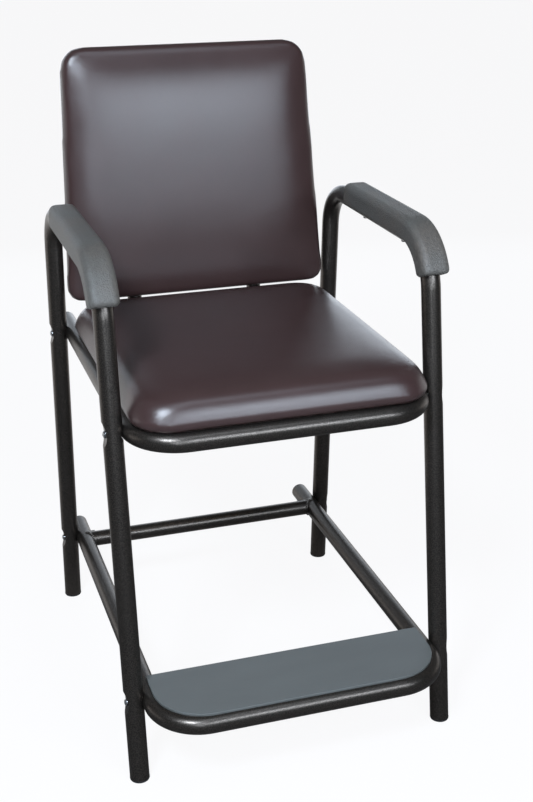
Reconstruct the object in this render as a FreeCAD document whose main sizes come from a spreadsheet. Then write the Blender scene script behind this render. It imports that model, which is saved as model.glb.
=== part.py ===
import FreeCAD, Part
import Sketcher
import math
import os

# High hip chair. Front faces -Y, +Z is up, the middle plane is X = 0, floor at Z = 0.
# The right side (+X) is built and the left side is its mirror image.

Vec = FreeCAD.Vector
Turn = FreeCAD.Rotation
Place = FreeCAD.Placement
Rule = Sketcher.Constraint

doc = FreeCAD.newDocument("high_hip_chair")

DIMENSIONS = [
    ("leg_half", 250.0, "leg centre from the middle plane"),
    ("tube_radius", 15.0, "outer radius of the bent tubes"),
    ("tube_wall", 1.5, "wall of the bent tubes"),
    ("front_foot_y", -271.0, "front leg axis on the floor"),
    ("rear_foot_y", 313.0, "rear leg axis on the floor"),
    ("front_lean", 8.53, "front leg lean in degrees"),
    ("rear_lean", 3.66, "rear leg lean in degrees"),
    ("arm_z", 765.0, "arm tube axis height"),
    ("front_bend", 75.0, "front bend centre line radius"),
    ("rear_bend", 70.0, "rear bend centre line radius"),
    ("frame_half", 224.0, "side axis of the seat and foot frames"),
    ("frame_bend", 72.0, "corner radius of both frames"),
    ("seat_frame_z", 540.0, "seat frame axis height"),
    ("seat_frame_front", -253.0, "seat frame front axis"),
    ("seat_frame_rear", 346.0, "seat frame tube ends"),
    ("foot_frame_z", 127.0, "foot frame axis height"),
    ("foot_frame_front", -342.0, "foot frame front axis"),
    ("foot_frame_rear", 354.0, "foot frame tube ends"),
    ("fit_gap", 0.3, "gap between nested curved faces"),
    ("dimple_radius", 40.0, "radius of the pressed dimple"),
    ("dimple_depth", 4.5, "depth of the pressed dimple"),
    ("bar_radius", 14.0, "outer radius of the crossbars"),
    ("seat_bar_y", 256.0, "seat frame crossbar axis"),
    ("foot_bar_y", 282.0, "foot frame crossbar axis"),
    ("weld_size", 2.5, "leg of the weld beads"),
    ("glide_rim", 4.0, "height of the glide rim"),
    ("glide_radius", 15.2, "radius of the glide rim"),
    ("stem_radius", 13.2, "radius of plug stems in the bent tubes"),
    ("plug_rim", 3.0, "height of the plug rim"),
    ("bolt_radius", 3.0, "shank radius of the frame bolts"),
    ("bolt_length", 61.0, "shank length of the frame bolts"),
    ("bolt_head", 5.6, "head radius of the frame bolts"),
    ("bolt_hole", 3.3, "hole radius for the frame bolts"),
    ("nut_radius", 5.77, "corner radius of the nuts"),
    ("nut_height", 6.0, "height of the nuts"),
    ("plate_half", 224.0, "foot plate half width"),
    ("plate_front", -345.0, "foot plate front edge"),
    ("plate_rear", -219.0, "foot plate rear edge"),
    ("plate_corner", 78.0, "foot plate front corner radius"),
    ("plate_thick", 4.0, "foot plate thickness"),
    ("tab_wide", 22.0, "weld tab size away from the tube"),
    ("tab_long", 30.0, "weld tab size along the tube"),
    ("tab_thick", 2.5, "weld tab thickness"),
    ("tab_reach", 8.6, "tab edge from the tube axis"),
    ("seat_half", 222.0, "seat cushion base half width"),
    ("seat_front", -252.0, "seat cushion base front"),
    ("seat_rear", 258.0, "seat cushion base rear"),
    ("hem", 1.0, "cover thickness under the boards"),
    ("seat_board_thick", 12.0, "seat board thickness"),
    ("back_board_thick", 11.0, "back board thickness"),
    ("board_inset", 1.2, "board edge inside the cover base"),
    ("back_y", 278.8, "backrest rear face at its lower edge"),
    ("back_z", 602.3, "backrest lower edge height"),
    ("back_lean", 7.9, "backrest lean in degrees"),
    ("back_half", 228.0, "backrest base half width at the lower edge"),
    ("back_taper", 2.75, "lean of the backrest sides in degrees"),
    ("back_low", -2.5, "backrest base lower edge"),
    ("back_high", 413.0, "backrest base upper edge"),
    ("panel_thick", 3.0, "rear panel thickness"),
    ("post_half", 110.0, "back post axis from the middle plane"),
    ("post_radius", 12.5, "back post outer radius"),
    ("post_wall", 1.3, "back post wall"),
    ("post_low", -77.0, "back post lower end"),
    ("post_high", 330.0, "back post upper end"),
    ("post_screw_low", 90.0, "lower back screw height"),
    ("post_screw_high", 270.0, "upper back screw height"),
    ("pad_half", 22.5, "arm pad half width"),
    ("pad_low", -2.0, "arm pad lower edge from the tube axis"),
    ("pad_high", 32.5, "arm pad top from the tube axis"),
    ("pad_rear", 153.0, "arm pad rear end"),
    ("pad_end", 22.0, "arm pad front end on the bend in degrees"),
    ("pad_skirt", 12.0, "depth of the arm pad block that is cut off below"),
    ("pad_round", 7.0, "rounding of the arm pad ends"),
    ("mark_radius", 25.0, "profile radius of the bend marks"),
    ("mark_depth", 0.5, "depth of the bend marks"),
    ("front_mark_z", 704.0, "bend mark on the front legs"),
    ("rear_mark_z", 697.0, "bend mark on the rear legs"),
    ("pad_screw_front", -60.0, "front arm pad screw"),
    ("pad_screw_rear", 100.0, "rear arm pad screw"),
    ("screw_radius", 2.8, "shank radius of the cushion screws"),
    ("screw_hole", 3.2, "hole radius for the cushion screws"),
    ("thin_screw", 2.0, "shank radius of the pad and plate screws"),
    ("thin_hole", 2.3, "hole radius for the pad and plate screws"),
    ("barrel_radius", 4.0, "tee nut barrel radius"),
    ("flange_radius", 9.5, "tee nut flange radius"),
    ("flange_thick", 1.5, "tee nut flange thickness"),
    ("tab_front_y", -110.0, "front seat tabs"),
    ("tab_rear_y", 150.0, "rear seat tabs"),
    ("plate_tab_y", -240.0, "side foot plate tabs"),
    ("plate_tab_x", 100.0, "front foot plate tabs"),
]

sheet = doc.addObject("Spreadsheet::Sheet", "dims")
for row, (alias, value, note) in enumerate(DIMENSIONS, start=1):
    sheet.set("A%d" % row, note)
    sheet.set("B%d" % row, str(value))
    sheet.setAlias("B%d" % row, alias)
scrap = doc.addObject("Spreadsheet::Sheet", "scrap")
doc.recompute()

nodes = {}


def size(alias):
    """Value of one driving dimension."""
    return float(sheet.get(alias))


def bind(item, terms):
    """Bind properties of an object to expressions of the sheet."""
    for name, term in terms.items():
        item.setExpression(name, term)


def node(item, label):
    """Mark an object as a sub-part."""
    item.Label = label
    nodes[label] = item
    return item


AXIS_TURN = {
    "x": Turn(Vec(0, 1, 0), 90),
    "y": Turn(Vec(1, 0, 0), -90),
    "z": Turn(),
}


def at_terms(at):
    """Placement terms for three coordinates."""
    return {
        "Placement.Base.x": at[0],
        "Placement.Base.y": at[1],
        "Placement.Base.z": at[2],
    }


def cylinder(name, axis, radius, length, at):
    """Cylinder along one axis, with bound sizes."""
    item = doc.addObject("Part::Cylinder", name)
    item.Placement = Place(Vec(), AXIS_TURN[axis])
    bind(item, {"Radius": radius, "Height": length})
    bind(item, at_terms(at))
    return item


def tilted_cylinder(name, radius, length, at, angle):
    """Cylinder that leans in the side view."""
    item = doc.addObject("Part::Cylinder", name)
    item.Placement = Place(Vec(), Turn(Vec(1, 0, 0), 5))
    bind(item, {"Radius": radius, "Height": length})
    bind(item, at_terms(at))
    bind(item, {"Placement.Rotation.Angle": angle})
    return item


def bend_mark(name, at, angle):
    """Shallow round groove that the bending die leaves round a leg."""
    item = doc.addObject("Part::Torus", name)
    item.Placement = Place(Vec(), Turn(Vec(1, 0, 0), 5))
    reach = "dims.tube_radius - dims.mark_depth + dims.mark_radius"
    bind(item, {"Radius1": reach, "Radius2": "dims.mark_radius"})
    bind(item, at_terms(at))
    bind(item, {"Placement.Rotation.Angle": angle})
    return item


def box(name, sizes, at):
    """Box with bound sizes."""
    item = doc.addObject("Part::Box", name)
    bind(item, {"Length": sizes[0], "Width": sizes[1], "Height": sizes[2]})
    bind(item, at_terms(at))
    return item


def fuse(name, items):
    """Union of several objects."""
    item = doc.addObject("Part::MultiFuse", name)
    item.Shapes = items
    return item


def cut(name, base, tool):
    """Difference of two objects."""
    item = doc.addObject("Part::Cut", name)
    item.Base = base
    item.Tool = tool
    return item


def common(name, base, tool):
    """Intersection of two objects."""
    item = doc.addObject("Part::Common", name)
    item.Base = base
    item.Tool = tool
    return item


def mirrored(source, label):
    """Mirror image on the other side of the middle plane."""
    item = doc.addObject("Part::Mirroring", label)
    item.Source = source
    item.Normal = Vec(1, 0, 0)
    item.Base = Vec(0, 0, 0)
    return node(item, label)


def hold(sketch, rule, term):
    """Add a dimension to a sketch and bind it."""
    index = sketch.addConstraint(rule)
    sketch.setExpression("Constraints[%d]" % index, term)


def rounded_corner(before, corner, after, radius):
    """Tangent points and centre of a round corner."""
    back = before.sub(corner)
    back.normalize()
    onward = after.sub(corner)
    onward.normalize()
    angle = back.getAngle(onward)
    reach = radius / math.tan(angle / 2)
    entry = corner.add(Vec(back).multiply(reach))
    leave = corner.add(Vec(onward).multiply(reach))
    middle = Vec(back).add(onward)
    middle.normalize()
    centre = corner.add(middle.multiply(radius / math.sin(angle / 2)))
    return entry, leave, centre


def arc(centre, start, end, radius):
    """Arc from start to end, turning left."""
    first = math.atan2(start.y - centre.y, start.x - centre.x)
    last = math.atan2(end.y - centre.y, end.x - centre.x)
    if last < first:
        last += 2 * math.pi
    circle = Part.Circle(centre, Vec(0, 0, 1), radius)
    return Part.ArcOfCircle(circle, first, last)


def bent_path(name, points, bends):
    """Sketch of straight runs joined by bends that all turn right."""
    sketch = doc.addObject("Sketcher::SketchObject", name)
    start = points[0]
    for index, bend in enumerate(bends):
        corner = points[index + 1]
        entry, leave, centre = rounded_corner(points[index], corner, points[index + 2], bend)
        sketch.addGeometry(Part.LineSegment(start, entry), False)
        sketch.addGeometry(arc(centre, leave, entry, bend), False)
        start = leave
    sketch.addGeometry(Part.LineSegment(start, points[-1]), False)
    for index in range(len(bends)):
        sketch.addConstraint(Rule("Tangent", 2 * index, 2, 2 * index + 1, 2))
        sketch.addConstraint(Rule("Tangent", 2 * index + 2, 1, 2 * index + 1, 1))
    return sketch


def sweep(name, section, path, pieces):
    """Solid made by one section along a path."""
    item = doc.addObject("Part::Sweep", name)
    item.Sections = [section]
    item.Spine = (path, ["Edge%d" % (index + 1) for index in range(pieces)])
    item.Solid = True
    item.Frenet = False
    return item


def origin_plane(body, role):
    """Origin plane of a body, found by its role."""
    return [plane for plane in body.Origin.OriginFeatures if plane.Role == role][0]


def body_sketch(body, name, role, offset):
    """Sketch on an origin plane, moved along its normal."""
    sketch = body.newObject("Sketcher::SketchObject", name)
    sketch.AttachmentSupport = [(origin_plane(body, role), "")]
    sketch.MapMode = "FlatFace"
    sketch.setExpression("AttachmentOffset.Base.z", offset)
    return sketch


def number(term):
    """Start value of an expression, worked out on a scrap sheet."""
    scrap.set("A1", "=" + term)
    scrap.recompute()
    return float(scrap.get("A1"))


def outline(sketch, terms):
    """Rounded trapezium, equal left and right, with bound sizes."""
    low = number(terms["low"])
    high = number(terms["high"])
    reach = number(terms["reach"])
    taper = number(terms["taper"])
    lower = number(terms["lower_radius"])
    upper = number(terms["upper_radius"])
    slope = math.tan(math.radians(taper))
    edge = reach / math.cos(math.radians(taper))
    wide_low = edge - slope * low
    wide_high = edge - slope * high
    corners = [Vec(-wide_low, low, 0), Vec(wide_low, low, 0)]
    corners += [Vec(wide_high, high, 0), Vec(-wide_high, high, 0)]
    radii = [lower, lower, upper, upper]
    rounds = []
    for index in range(4):
        before = corners[index - 1]
        after = corners[(index + 1) % 4]
        rounds.append(rounded_corner(before, corners[index], after, radii[index]))
    for index in range(4):
        following = (index + 1) % 4
        entry, leave, centre = rounds[following]
        sketch.addGeometry(Part.LineSegment(rounds[index][1], entry), False)
        sketch.addGeometry(arc(centre, entry, leave, radii[following]), False)
    for index in range(4):
        sketch.addConstraint(Rule("Tangent", 2 * index, 2, 2 * index + 1, 1))
        sketch.addConstraint(Rule("Tangent", 2 * index + 1, 2, (2 * index + 2) % 8, 1))
    sketch.addConstraint(Rule("Symmetric", 0, 1, 0, 2, -2))
    sketch.addConstraint(Rule("Symmetric", 4, 1, 4, 2, -2))
    sketch.addConstraint(Rule("Equal", 1, 7))
    sketch.addConstraint(Rule("Equal", 3, 5))
    hold(sketch, Rule("Angle", 2, math.radians(90 + taper)), "90 + (%s)" % terms["taper"])
    hold(sketch, Rule("Distance", -1, 1, 2, reach), terms["reach"])
    hold(sketch, Rule("DistanceY", -1, 1, 0, 1, low), terms["low"])
    hold(sketch, Rule("DistanceY", -1, 1, 4, 1, high), terms["high"])
    hold(sketch, Rule("Radius", 1, lower), terms["lower_radius"])
    hold(sketch, Rule("Radius", 3, upper), terms["upper_radius"])


def circles(sketch, spots, radius):
    """Circles with bound centres and radius."""
    for across, along in spots:
        centre = Vec(number(across), number(along), 0)
        index = sketch.addGeometry(Part.Circle(centre, Vec(0, 0, 1), number(radius)), False)
        hold(sketch, Rule("DistanceX", -1, 1, index, 3, centre.x), across)
        hold(sketch, Rule("DistanceY", -1, 1, index, 3, centre.y), along)
        hold(sketch, Rule("Radius", index, number(radius)), radius)


def pad_feature(body, name, sketch, length):
    """Pad with a bound length."""
    feature = body.newObject("PartDesign::Pad", name)
    feature.Profile = sketch
    feature.setExpression("Length", length)
    doc.recompute()
    return feature


def pocket_feature(body, name, sketch, length, reverse):
    """Pocket with a bound depth that must take something away."""
    before = body.Shape.Volume
    feature = body.newObject("PartDesign::Pocket", name)
    feature.Profile = sketch
    feature.setExpression("Length", length)
    feature.Reversed = reverse
    doc.recompute()
    if body.Shape.Volume >= before - 0.1:
        raise RuntimeError(name + " takes nothing away")
    return feature


def revolved(name, profile):
    """Body of revolution about Z from bound radius and height pairs."""
    body = doc.addObject("PartDesign::Body", name)
    sketch = body_sketch(body, name + "_profile", "XZ_Plane", "0")
    points = [Vec(number(radius), number(height), 0) for radius, height in profile]
    count = len(points)
    for index in range(count):
        line = Part.LineSegment(points[index], points[(index + 1) % count])
        sketch.addGeometry(line, False)
    for index in range(count):
        sketch.addConstraint(Rule("Coincident", index, 2, (index + 1) % count, 1))
    for index, (radius, height) in enumerate(profile):
        hold(sketch, Rule("DistanceX", -1, 1, index, 1, points[index].x), radius)
        hold(sketch, Rule("DistanceY", -1, 1, index, 1, points[index].y), height)
    feature = body.newObject("PartDesign::Revolution", name + "_turn")
    feature.Profile = sketch
    feature.ReferenceAxis = (sketch, ["V_Axis"])
    feature.Angle = 360
    doc.recompute()
    return body


def group(label, copies):
    """Separate equal pieces that share one sub-part."""
    item = doc.addObject("Part::Feature", label)
    shapes = []
    for source, place in copies:
        shape = source.Shape.copy()
        shape.Placement = place.multiply(shape.Placement)
        shapes.append(shape)
    item.Shape = Part.Compound(shapes)
    return node(item, label)


def both_sides(shape_item):
    """The object's shape and its mirror image."""
    shape = shape_item.Shape
    return [shape.copy(), shape.mirror(Vec(0, 0, 0), Vec(1, 0, 0))]


# Bolt spots: leg axes where they cross the two frames.
SEAT_FRONT = "dims.front_foot_y + tan(dims.front_lean) * dims.seat_frame_z"
SEAT_REAR = "dims.rear_foot_y - tan(dims.rear_lean) * dims.seat_frame_z"
FOOT_FRONT = "dims.front_foot_y + tan(dims.front_lean) * dims.foot_frame_z"
FOOT_REAR = "dims.rear_foot_y - tan(dims.rear_lean) * dims.foot_frame_z"
JOINTS = [
    ("seat_front", SEAT_FRONT, "dims.seat_frame_z"),
    ("seat_rear", SEAT_REAR, "dims.seat_frame_z"),
    ("foot_front", FOOT_FRONT, "dims.foot_frame_z"),
    ("foot_rear", FOOT_REAR, "dims.foot_frame_z"),
]

# Side frame: front leg, arm and rear leg in one bent tube.
front_slope = math.tan(math.radians(size("front_lean")))
rear_slope = math.tan(math.radians(size("rear_lean")))
arm_z = size("arm_z")
front_top = size("front_foot_y") + front_slope * arm_z
rear_top = size("rear_foot_y") - rear_slope * arm_z
side_points = [
    Vec(size("front_foot_y"), 0, 0),
    Vec(front_top, arm_z, 0),
    Vec(rear_top, arm_z, 0),
    Vec(size("rear_foot_y"), 0, 0),
]
SIDE_VIEW = Turn(Vec(1, 1, 1), 120)
side_path = bent_path("side_path", side_points, [size("front_bend"), size("rear_bend")])
side_path.Placement = Place(Vec(size("leg_half"), 0, 0), SIDE_VIEW)
side_path.setExpression("Placement.Base.x", "dims.leg_half")
side_path.addConstraint(Rule("DistanceY", -1, 1, 0, 1, 0.0))
side_path.addConstraint(Rule("DistanceY", -1, 1, 4, 2, 0.0))
side_path.addConstraint(Rule("Horizontal", 2))
front_angle = math.radians(90 - size("front_lean"))
rear_angle = math.radians(size("rear_lean") - 90)
hold(side_path, Rule("DistanceX", -1, 1, 0, 1, side_points[0].x), "dims.front_foot_y")
hold(side_path, Rule("Angle", 0, front_angle), "90 - dims.front_lean")
hold(side_path, Rule("DistanceY", -1, 1, 2, 1, arm_z), "dims.arm_z")
hold(side_path, Rule("Radius", 1, size("front_bend")), "dims.front_bend")
hold(side_path, Rule("Radius", 3, size("rear_bend")), "dims.rear_bend")
hold(side_path, Rule("DistanceX", -1, 1, 4, 2, side_points[3].x), "dims.rear_foot_y")
hold(side_path, Rule("Angle", 4, rear_angle), "dims.rear_lean - 90")
doc.recompute()


def side_sweep(name, radius):
    """Round bar along the side frame path."""
    ring = doc.addObject("Part::Circle", name + "_ring")
    ring.Placement = Place(Vec(), Turn(Vec(1, 0, 0), -5))
    bind(ring, {"Radius": radius, "Placement.Rotation.Angle": "-dims.front_lean"})
    bind(ring, at_terms(["dims.leg_half", "dims.front_foot_y", "0"]))
    return sweep(name, ring, side_path, 5)


def frame_rod(name, radius, across, height):
    """Long round bar along Y beside the legs."""
    return cylinder(name, "y", radius, "1000", [across, "-500", height])


def press_tools(name, extra):
    """Saddles on the inner side and dimples on the outer side of the legs."""
    saddle = "dims.tube_radius + dims.fit_gap" + extra
    dimple = "dims.dimple_radius" + extra
    middle = "dims.leg_half + dims.tube_radius + dims.dimple_radius - dims.dimple_depth"
    tools = []
    for level in ("seat", "foot"):
        height = "dims.%s_frame_z" % level
        tools.append(frame_rod("%s_%s_saddle" % (name, level), saddle, "dims.frame_half", height))
        tools.append(frame_rod("%s_%s_dimple" % (name, level), dimple, middle, height))
    return tools


side_outer = side_sweep("side_outer", "dims.tube_radius")
side_bore = side_sweep("side_bore", "dims.tube_radius - dims.tube_wall")
side_clear = side_sweep("side_clear", "dims.tube_radius + dims.fit_gap")
side_tools = press_tools("outer", "")
for spot, along, height in JOINTS:
    at = ["dims.leg_half - 30", along, height]
    side_tools.append(cylinder("hole_" + spot, "x", "dims.bolt_hole", "60", at))
for spot in ("front", "rear"):
    at = ["dims.leg_half", "dims.pad_screw_" + spot, "dims.arm_z - 20"]
    side_tools.append(cylinder("pad_hole_" + spot, "z", "dims.thin_hole", "40", at))
FRONT_MARK_Y = "dims.front_foot_y + tan(dims.front_lean) * dims.front_mark_z"
REAR_MARK_Y = "dims.rear_foot_y - tan(dims.rear_lean) * dims.rear_mark_z"
front_mark_at = ["dims.leg_half", FRONT_MARK_Y, "dims.front_mark_z"]
rear_mark_at = ["dims.leg_half", REAR_MARK_Y, "dims.rear_mark_z"]
side_tools.append(bend_mark("front_mark", front_mark_at, "-dims.front_lean"))
side_tools.append(bend_mark("rear_mark", rear_mark_at, "dims.rear_lean"))
floor_sizes = ["80", "1000", "40"]
floor_at = ["dims.leg_half - 40", "-500", "dims.glide_rim - 40"]
side_tools.append(box("floor_cut", floor_sizes, floor_at))
side_core = cut("side_core", side_bore, fuse("core_tools", press_tools("core", " + dims.tube_wall")))
side_pressed = cut("side_pressed", side_outer, fuse("side_tools", side_tools))
right_side_tube = node(cut("right_side_tube", side_pressed, side_core), "right_side_tube")
mirrored(right_side_tube, "left_side_tube")
doc.recompute()


def frame_path(name, front, rear, height):
    """U-shaped path of the seat or foot frame, open to the rear."""
    half = size("frame_half")
    points = [
        Vec(half, size(rear), 0),
        Vec(half, size(front), 0),
        Vec(-half, size(front), 0),
        Vec(-half, size(rear), 0),
    ]
    bend = size("frame_bend")
    path = bent_path(name, points, [bend, bend])
    path.setExpression("Placement.Base.z", "dims." + height)
    path.addConstraint(Rule("Vertical", 0))
    path.addConstraint(Rule("Horizontal", 2))
    path.addConstraint(Rule("Vertical", 4))
    path.addConstraint(Rule("Equal", 1, 3))
    path.addConstraint(Rule("Symmetric", 0, 1, 4, 2, -2))
    hold(path, Rule("DistanceX", -1, 1, 0, 1, half), "dims.frame_half")
    hold(path, Rule("DistanceY", -1, 1, 0, 1, size(rear)), "dims." + rear)
    hold(path, Rule("DistanceY", -1, 1, 2, 1, size(front)), "dims." + front)
    hold(path, Rule("Radius", 1, bend), "dims.frame_bend")
    return path


def frame_tube(level, spots):
    """Hollow U tube with bolt holes."""
    front = level + "_frame_front"
    rear = level + "_frame_rear"
    height = level + "_frame_z"
    path = frame_path(level + "_path", front, rear, height)
    doc.recompute()
    solids = []
    for part, radius in (("outer", "dims.tube_radius"), ("bore", "dims.tube_radius - dims.tube_wall")):
        ring = doc.addObject("Part::Circle", "%s_%s_ring" % (level, part))
        ring.Placement = Place(Vec(), Turn(Vec(1, 0, 0), 90))
        ring.setExpression("Radius", radius)
        bind(ring, at_terms(["dims.frame_half", "dims." + rear, "dims." + height]))
        solids.append(sweep("%s_%s" % (level, part), ring, path, 5))
    tools = [solids[1]]
    for spot, along in spots:
        at = ["-dims.leg_half", along, "dims." + height]
        tools.append(cylinder("%s_bolt_%s" % (level, spot), "x", "dims.bolt_hole", "2 * dims.leg_half", at))
    label = level + "_frame_tube"
    return node(cut(label, solids[0], fuse(level + "_tools", tools)), label)


frame_tube("seat", [("front", SEAT_FRONT), ("rear", SEAT_REAR)])
frame_tube("foot", [("front", FOOT_FRONT), ("rear", FOOT_REAR)])
doc.recompute()


def crossbar(level):
    """Hollow bar with coped ends between the sides of a frame."""
    height = "dims.%s_frame_z" % level
    along = "dims.%s_bar_y" % level
    at = ["-dims.frame_half", along, height]
    length = "2 * dims.frame_half"
    solid = cylinder(level + "_bar_outer", "x", "dims.bar_radius", length, at)
    tools = [cylinder(level + "_bar_bore", "x", "dims.bar_radius - dims.tube_wall", length, at)]
    for side, sign in (("right", ""), ("left", "-")):
        cope = "dims.tube_radius + 0.1"
        tools.append(frame_rod("%s_cope_%s" % (level, side), cope, sign + "dims.frame_half", height))
    label = level + "_frame_crossbar"
    return node(cut(label, solid, fuse(level + "_cope", tools)), label)


crossbar("seat")
crossbar("foot")


def bar_weld(level):
    """Weld bead round the right end of a crossbar."""
    height = "dims.%s_frame_z" % level
    along = "dims.%s_bar_y" % level
    at = ["dims.frame_half - 40", along, height]
    rods = []
    for part, extra in (("fat", " + dims.weld_size"), ("thin", " + 0.1")):
        bar = cylinder("%s_weld_bar_%s" % (level, part), "x", "dims.bar_radius" + extra, "40", at)
        radius = "dims.tube_radius" + extra
        rod = frame_rod("%s_weld_rod_%s" % (level, part), radius, "dims.frame_half", height)
        rods.append((bar, rod))
    bead = common(level + "_weld_block", rods[0][0], rods[0][1])
    return cut(level + "_weld", bead, fuse(level + "_weld_core", [rods[1][0], rods[1][1]]))


# The backrest and its posts lean together: local Z runs up the back, local -Y forward.
lean = Place(Vec(0, size("back_y"), size("back_z")), Turn(Vec(1, 0, 0), -size("back_lean")))


def lean_body(body):
    """Lean a body with the backrest."""
    body.Placement = lean
    bind(body, {"Placement.Base.y": "dims.back_y", "Placement.Base.z": "dims.back_z"})
    body.setExpression("Placement.Rotation.Angle", "-dims.back_lean")


post = doc.addObject("PartDesign::Body", "right_back_post")
post_sketch = body_sketch(post, "post_section", "XY_Plane", "dims.post_low")
circles(post_sketch, [("dims.post_half", "dims.post_radius")], "dims.post_radius")
circles(post_sketch, [("dims.post_half", "dims.post_radius")], "dims.post_radius - dims.post_wall")
doc.recompute()
pad_feature(post, "post_tube", post_sketch, "dims.post_high - dims.post_low")
post_holes = body_sketch(post, "post_holes", "XZ_Plane", "0")
post_spots = [("dims.post_half", "dims.post_screw_low"), ("dims.post_half", "dims.post_screw_high")]
circles(post_holes, post_spots, "dims.screw_hole")
doc.recompute()
pocket_feature(post, "post_drill", post_holes, "3 * dims.post_radius", False)
lean_body(post)
node(post, "right_back_post")
mirrored(post, "left_back_post")
doc.recompute()

post_weld_at = ["dims.post_half - 30", "dims.seat_bar_y", "dims.seat_frame_z"]
lean_foot = [
    "dims.post_half",
    "dims.back_y + dims.post_radius * cos(dims.back_lean) + dims.post_low * sin(dims.back_lean)",
    "dims.back_z - dims.post_radius * sin(dims.back_lean) + dims.post_low * cos(dims.back_lean)",
]
post_weld_parts = []
for part, extra in (("fat", " + dims.weld_size"), ("thin", " + 0.1")):
    bar = cylinder("post_weld_bar_" + part, "x", "dims.bar_radius" + extra, "60", post_weld_at)
    rod_size = "dims.post_radius" + extra
    rod = tilted_cylinder("post_weld_rod_" + part, rod_size, "60", lean_foot, "-dims.back_lean")
    post_weld_parts.append((bar, rod))
post_bead = common("post_weld_block", post_weld_parts[0][0], post_weld_parts[0][1])
post_core = fuse("post_weld_core", [post_weld_parts[1][0], post_weld_parts[1][1]])
post_weld = cut("post_weld", post_bead, post_core)
seat_weld = bar_weld("seat")
foot_weld = bar_weld("foot")
doc.recompute()
welds = doc.addObject("Part::Feature", "frame_welds")
weld_shapes = []
for bead in (seat_weld, foot_weld, post_weld):
    for shape in both_sides(bead):
        weld_shapes += shape.Solids
welds.Shape = Part.Compound(weld_shapes)
node(welds, "frame_welds")

# Foot plate and the weld tabs under both the plate and the seat board.
PLATE_Z = "dims.foot_frame_z + dims.tube_radius"
SEAT_Z = "dims.seat_frame_z + dims.tube_radius"
TAB_X = "dims.frame_half - dims.tab_reach - dims.tab_wide / 2"
FRONT_TAB_Y = "dims.foot_frame_front + dims.tab_reach + dims.tab_wide / 2"
PLATE_SPOTS = [
    (TAB_X, "dims.plate_tab_y"),
    ("-(%s)" % TAB_X, "dims.plate_tab_y"),
    ("dims.plate_tab_x", FRONT_TAB_Y),
    ("-dims.plate_tab_x", FRONT_TAB_Y),
]
SEAT_SPOTS = []
for along in ("dims.tab_front_y", "dims.tab_rear_y"):
    SEAT_SPOTS.append((TAB_X, along))
    SEAT_SPOTS.append(("-(%s)" % TAB_X, along))

plate = doc.addObject("PartDesign::Body", "foot_plate")
plate_sketch = body_sketch(plate, "plate_outline", "XY_Plane", PLATE_Z)
plate_terms = {
    "low": "dims.plate_front",
    "high": "dims.plate_rear",
    "reach": "dims.plate_half",
    "taper": "0",
    "lower_radius": "dims.plate_corner",
    "upper_radius": "3",
}
outline(plate_sketch, plate_terms)
doc.recompute()
pad_feature(plate, "plate_sheet", plate_sketch, "dims.plate_thick")
plate_holes = body_sketch(plate, "plate_holes", "XY_Plane", PLATE_Z)
circles(plate_holes, PLATE_SPOTS, "dims.thin_hole")
doc.recompute()
drilled = pocket_feature(plate, "plate_drill", plate_holes, "dims.plate_thick - 1.2", True)
top_z = size("foot_frame_z") + size("tube_radius") + size("plate_thick")
top_edges = []
for index, edge in enumerate(drilled.Shape.Edges, start=1):
    bounds = edge.BoundBox
    if bounds.ZMin > top_z - 0.01 and bounds.ZMax < top_z + 0.01:
        top_edges.append("Edge%d" % index)
plate_round = plate.newObject("PartDesign::Fillet", "plate_round")
plate_round.Base = (drilled, top_edges)
plate_round.Radius = 1.2
doc.recompute()
node(plate, "foot_plate")


def tab(name, wide, deep, across, along, top):
    """Flat tab with one hole, under a board."""
    sizes = [wide, deep, "dims.tab_thick"]
    at = ["%s - (%s) / 2" % (across, wide), "%s - (%s) / 2" % (along, deep), top + " - dims.tab_thick"]
    sheet_metal = box(name + "_blank", sizes, at)
    hole_at = [across, along, top + " - 2 * dims.tab_thick"]
    hole = cylinder(name + "_hole", "z", "dims.screw_hole", "4 * dims.tab_thick", hole_at)
    return cut(name, sheet_metal, hole)


side_tab = tab("plate_side_tab", "dims.tab_wide", "dims.tab_long", TAB_X, "dims.plate_tab_y", PLATE_Z)
front_tab = tab("plate_front_tab", "dims.tab_long", "dims.tab_wide", "dims.plate_tab_x", FRONT_TAB_Y, PLATE_Z)
seat_tab_front = tab("seat_tab_front", "dims.tab_wide", "dims.tab_long", TAB_X, "dims.tab_front_y", SEAT_Z)
seat_tab_rear = tab("seat_tab_rear", "dims.tab_wide", "dims.tab_long", TAB_X, "dims.tab_rear_y", SEAT_Z)
doc.recompute()
for label, sources in (("plate_tabs", [side_tab, front_tab]), ("seat_tabs", [seat_tab_front, seat_tab_rear])):
    tabs = doc.addObject("Part::Feature", label)
    tab_shapes = []
    for source in sources:
        for shape in both_sides(source):
            tab_shapes += shape.Solids
    tabs.Shape = Part.Compound(tab_shapes)
    node(tabs, label)


def board(label, role, start, thick, base, spots, lay):
    """Flat board with tee nut seats."""
    body = doc.addObject("PartDesign::Body", label)
    sketch = body_sketch(body, label + "_outline", role, start)
    outline(sketch, base)
    doc.recompute()
    pad_feature(body, label + "_sheet", sketch, thick)
    drill = body_sketch(body, label + "_holes", role, start)
    circles(drill, spots, "dims.barrel_radius + 0.1")
    doc.recompute()
    pocket_feature(body, label + "_drill", drill, thick, True)
    seats = body_sketch(body, label + "_seats", role, "%s + %s" % (start, thick))
    circles(seats, spots, "dims.flange_radius + 0.1")
    doc.recompute()
    pocket_feature(body, label + "_sink", seats, "dims.flange_thick", False)
    if lay:
        lean_body(body)
    doc.recompute()
    return node(body, label)


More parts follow.
